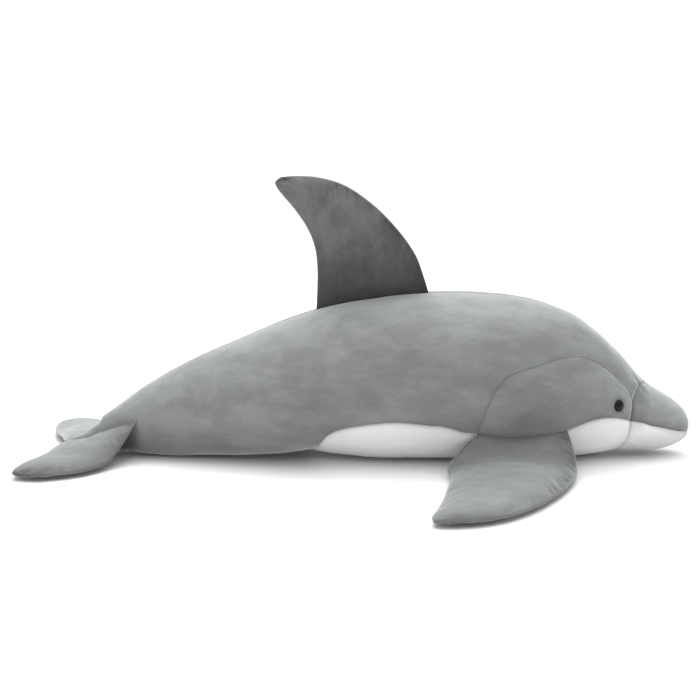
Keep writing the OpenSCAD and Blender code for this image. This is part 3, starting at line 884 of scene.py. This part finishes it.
class DOLPHIN_OT_filling(bpy.types.Operator):
    """Pack loose fibre into the body and every fin"""

    bl_idname = "dolphin.filling"
    bl_label = "Filling"

    def execute(self, context):
        s = np.concatenate([np.arange(-515, 560, 12.0), [568, 576, 584]])
        v = np.arange(-180, 180, 6.0)
        rings = on_body(s[:, None], v[None, :], 10.0)
        centre = np.broadcast_to(rings.mean(1, keepdims=True), rings.shape)
        body = loft_piece("body_fibre", fluff(rings, centre, 90))
        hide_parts("torso_filling", "tail_filling")
        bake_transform(body)
        fins = [("dorsal_fibre", "dorsal_filling", "dorsal_fin", DORSAL_FRONT, DORSAL_REAR, (0, 1, 0), 9, 9, 1)]
        for side, sign in SIDES:
            fins.append((f"flipper_fibre_{side}", f"flipper_filling_{side}", f"flipper_{side}",
                         FLIPPER_FRONT, FLIPPER_REAR, (0, 0, 1), 8, 3, sign))
            fins.append((f"fluke_fibre_{side}", f"fluke_filling_{side}", f"fluke_{side}",
                         FLUKE_FRONT, FLUKE_REAR, (0, 0, 1), 6, 2, sign))
        for name, node, body_name, front, rear, facing, above, below, sign in fins:
            piece = self.fin_fibre(name, front, rear, facing, above, below, sign)
            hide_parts(node)
            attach(piece, body_name)
        for piece in [o for o in context.scene.objects if "_fibre" in o.name]:
            dress_piece(piece, "fibre_filling")
        return {"FINISHED"}

    def fin_fibre(self, name, front, rear, facing, above, below, sign):
        u = np.linspace(0.22, 0.84, 34)
        f, r = along(front, u), along(rear, u)
        turn = np.linspace(0, 2 * np.pi, 28, endpoint=False)
        c = 0.5 + 0.34 * np.cos(turn)
        height = np.sin(turn) * np.where(np.sin(turn) > 0, above, below)
        thick = np.sqrt(1 - u**4)
        rings = (r[:, None] + (f - r)[:, None] * c[None, :, None]
                 + np.array(facing)[None, None] * (height[None, :] * thick[:, None] * MM)[..., None])
        centre = np.broadcast_to(rings.mean(1, keepdims=True), rings.shape)
        rings = fluff(rings, centre, 95, 0.6)
        if name == "fluke_fibre_left":
            rings = tucked(rings)
        return loft_piece(name, rings * [1, sign, 1])


class DOLPHIN_OT_eyes(bpy.types.Operator):
    """Fit the domed black safety eyes and finish their locking washers"""

    bl_idname = "dolphin.eyes"
    bl_label = "Eyes"

    def execute(self, context):
        sizes = context.scene.dolphin_sizes
        r = sizes.eye / MM / 2
        shank = [(0.01, -20), (2.2, -20), (3.0, -19)]
        for k in range(5):
            shank += [(r, h + 2.4 * k) for r, h in ((3.0, -17.5), (2.5, -17), (2.5, -16), (3.0, -15.5))]
        rim = [(3.0, -4.2), (r - 1.2, -4.2), (r - 0.3, -3.9), (r, -3.2)]
        dome = [(r * math.cos(a), -3.0 + 8.0 * math.sin(a)) for a in np.radians(np.arange(4, 90, 4))]
        outline = shank + rim + dome + [(0.01, 5.0)]
        for side, sign in SIDES:
            place = on_body(EYE_STATION, EYE_ANGLE * sign)
            axis = body_normals(EYE_STATION, EYE_ANGLE * sign) * sign
            axis = axis if axis[1] * sign < 0 else -axis
            piece = spun_piece(f"safety_eye_{side}", outline, place, axis)
            dress_piece(piece, "eye_plastic")
            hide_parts(f"eye_{side}")
            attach(piece, "torso")
            washer = frame["nodes"][f"eye_washer_{side}"]
            washer.data.materials.clear()
            washer.data.materials.append(finish_of("washer_plastic"))
        return {"FINISHED"}


# ---------------------------------------------------------------- stage

class DOLPHIN_OT_stage(bpy.types.Operator):
    """Set the camera, the pale floor and the soft studio lights"""

    bl_idname = "dolphin.stage"
    bl_label = "Stage"

    def execute(self, context):
        data = bpy.data.cameras.new("camera")
        data.lens = 72
        data.sensor_width = 36
        data.clip_end = 100
        camera = bpy.data.objects.new("camera", data)
        camera.location = (-0.019, -2.50, 0.70)
        camera.rotation_euler = (math.radians(90 - 11.44), 0, 0)
        context.scene.collection.objects.link(camera)
        context.scene.camera = camera

        size = 60.0
        floor = new_piece("floor", [(-size, -size, 0), (size, -size, 0), (size, size, 0), (-size, size, 0)],
                          [[0, 1, 2, 3]], smooth_shade=False)
        paper = bpy.data.materials.new("floor_paper")
        paper.use_nodes = True
        paper.node_tree.nodes["Principled BSDF"].inputs["Base Color"].default_value = (0.90, 0.90, 0.90, 1)
        paper.node_tree.nodes["Principled BSDF"].inputs["Roughness"].default_value = 0.9
        floor.data.materials.append(paper)

        world = context.scene.world or bpy.data.worlds.new("world")
        context.scene.world = world
        world.use_nodes = True
        tree = world.node_tree
        sky = tree.nodes["Background"]
        split = tree.nodes.new("ShaderNodeSeparateXYZ")
        tree.links.new(tree.nodes.new("ShaderNodeTexCoord").outputs["Generated"], split.inputs[0])
        height = reckoned(tree, "MAXIMUM", split.outputs["Z"], 0.0)
        walls = ranged(tree, height, 1.06, 0.40, 0.10, 0.40, True)
        ceiling = reckoned(tree, "MULTIPLY", reckoned(tree, "POWER", height, 3.0), 2.2)
        sky.inputs["Color"].default_value = (0.985, 0.99, 1.0, 1)
        tree.links.new(reckoned(tree, "ADD", walls, ceiling), sky.inputs["Strength"])
        context.scene.view_settings.view_transform = "Standard"
        self.add_light("overhead", (-0.1, 1.0, 1.9), (0, 0, 0.15), 1.8, 30)
        self.add_light("catch_light", (-0.6, -2.5, 1.9), (0.3, 0, 0.1), 0.16, 5)
        return {"FINISHED"}

    def add_light(self, name, place, target, size, watts):
        data = bpy.data.lights.new(name, "AREA")
        data.size = size
        data.energy = watts
        light = bpy.data.objects.new(name, data)
        light.location = place
        light.rotation_euler = (Vector(target) - Vector(place)).to_track_quat("-Z", "Y").to_euler()
        bpy.context.scene.collection.objects.link(light)


# ---------------------------------------------------------------- settings, panel, main

class DolphinColours(bpy.types.PropertyGroup):
    grey: FloatVectorProperty(name="Grey", description="Plush of the back, cheeks, beak and fins",
                              subtype="COLOR", size=3, min=0, max=1, default=(0.215, 0.222, 0.219))
    dark_grey: FloatVectorProperty(name="Dark grey", description="Plush of the dorsal fin",
                                   subtype="COLOR", size=3, min=0, max=1, default=(0.095, 0.098, 0.097))
    white: FloatVectorProperty(name="White", description="Plush of the belly and chin",
                               subtype="COLOR", size=3, min=0, max=1, default=(0.85, 0.85, 0.835))
    fibre: FloatVectorProperty(name="Fibre", description="Loose filling",
                               subtype="COLOR", size=3, min=0, max=1, default=(0.88, 0.87, 0.84))
    eye: FloatVectorProperty(name="Eye", description="Plastic of the safety eyes",
                             subtype="COLOR", size=3, min=0, max=1, default=(0.006, 0.006, 0.007))
    washer: FloatVectorProperty(name="Washer", description="Plastic of the locking washers",
                                subtype="COLOR", size=3, min=0, max=1, default=(0.75, 0.75, 0.75))


class DolphinSizes(bpy.types.PropertyGroup):
    cell: FloatProperty(name="Cell", description="Distance between the points of a panel",
                        unit="LENGTH", min=0.002, max=0.02, default=0.0055)
    cheek_bulge: FloatProperty(name="Cheek bulge", description="How far the cheeks stand proud",
                               unit="LENGTH", min=0, max=0.01, default=0.004)
    dorsal_loft: FloatProperty(name="Dorsal loft", description="Stuffed half thickness of the dorsal fin",
                               unit="LENGTH", min=0.01, max=0.03, default=0.022)
    fin_loft: FloatProperty(name="Flipper loft", description="Height of a flipper above its edge seam",
                            unit="LENGTH", min=0.01, max=0.03, default=0.021)
    fluke_loft: FloatProperty(name="Lobe loft", description="Height of a tail lobe above its edge seam",
                              unit="LENGTH", min=0.008, max=0.03, default=0.017)
    eye: FloatProperty(name="Eye", description="Diameter of the safety eyes",
                       unit="LENGTH", min=0.02, max=0.026, default=0.022)


OPERATORS = (
    DOLPHIN_OT_stage, DOLPHIN_OT_side_panels, DOLPHIN_OT_cheeks, DOLPHIN_OT_belly, DOLPHIN_OT_beak,
    DOLPHIN_OT_dorsal_fin, DOLPHIN_OT_flippers, DOLPHIN_OT_flukes, DOLPHIN_OT_filling, DOLPHIN_OT_eyes,
)


class DOLPHIN_PT_workshop(bpy.types.Panel):
    """Colours, sizes and the steps of making the dolphin"""

    bl_idname = "DOLPHIN_PT_workshop"
    bl_label = "Plush Dolphin"
    bl_space_type = "VIEW_3D"
    bl_region_type = "UI"
    bl_category = "Plush Dolphin"

    def draw(self, context):
        for group in (context.scene.dolphin_colours, context.scene.dolphin_sizes):
            box = self.layout.box()
            for key in group.__annotations__:
                box.prop(group, key)
        for operator in OPERATORS:
            self.layout.operator(operator.bl_idname)


CLASSES = (DolphinColours, DolphinSizes, *OPERATORS, DOLPHIN_PT_workshop)
EYE_AT = on_body(EYE_STATION, EYE_ANGLE)
SEAM_LINES = seam_lines()
# How dark the painted shade in each seam's groove is.
CREASE_SHADE = {"back": 0.15, "under_tail": 0.4, "belly": 0.55, "cheek": 0.18, "head": 0.9}

# Dents and patches of the body: place and spread in mm, depth in mm, and how much darker it is painted there,
# negative for lighter. The first four are painted shade in the shadowed pocket beside the near tail lobe and in
# dents by the tail and the head seam; then come a painted highlight on the upper beak, darker on the forehead,
# painted shade under the chin, darker over the cheek and a slightly lighter bulge above the flipper.
DIMPLES = (
    ((-424, -44, 26), (21, 40, 38), 5.0, 0.33),
    ((-484, -14, 62), (7, 40, 26), 3.5, 0.16),
    ((503, -50, 128), (14, 40, 26), 0.6, 0.13),
    ((498, -62, 76), (12, 40, 16), 0.6, 0.11),
    ((556, -30, 104), (46, 60, 42), 0.0, -0.16),
    ((440, -30, 215), (80, 90, 50), 0.0, 0.19),
    ((560, -30, 34), (80, 70, 36), 0.0, 0.13),
    ((360, -130, 100), (110, 90, 55), 0.0, 0.09),
    ((330, -150, 160), (60, 70, 26), -1.5, -0.03),
)


def register():
    for cls in CLASSES:
        bpy.utils.register_class(cls)
    bpy.types.Scene.dolphin_colours = PointerProperty(type=DolphinColours)
    bpy.types.Scene.dolphin_sizes = PointerProperty(type=DolphinSizes)


def unregister():
    del bpy.types.Scene.dolphin_colours
    del bpy.types.Scene.dolphin_sizes
    for cls in reversed(CLASSES):
        bpy.utils.unregister_class(cls)


def main():
    register()
    for operator in OPERATORS:
        group, name = operator.bl_idname.split(".")
        getattr(getattr(bpy.ops, group), name)()


if __name__ == "__main__":
    main()
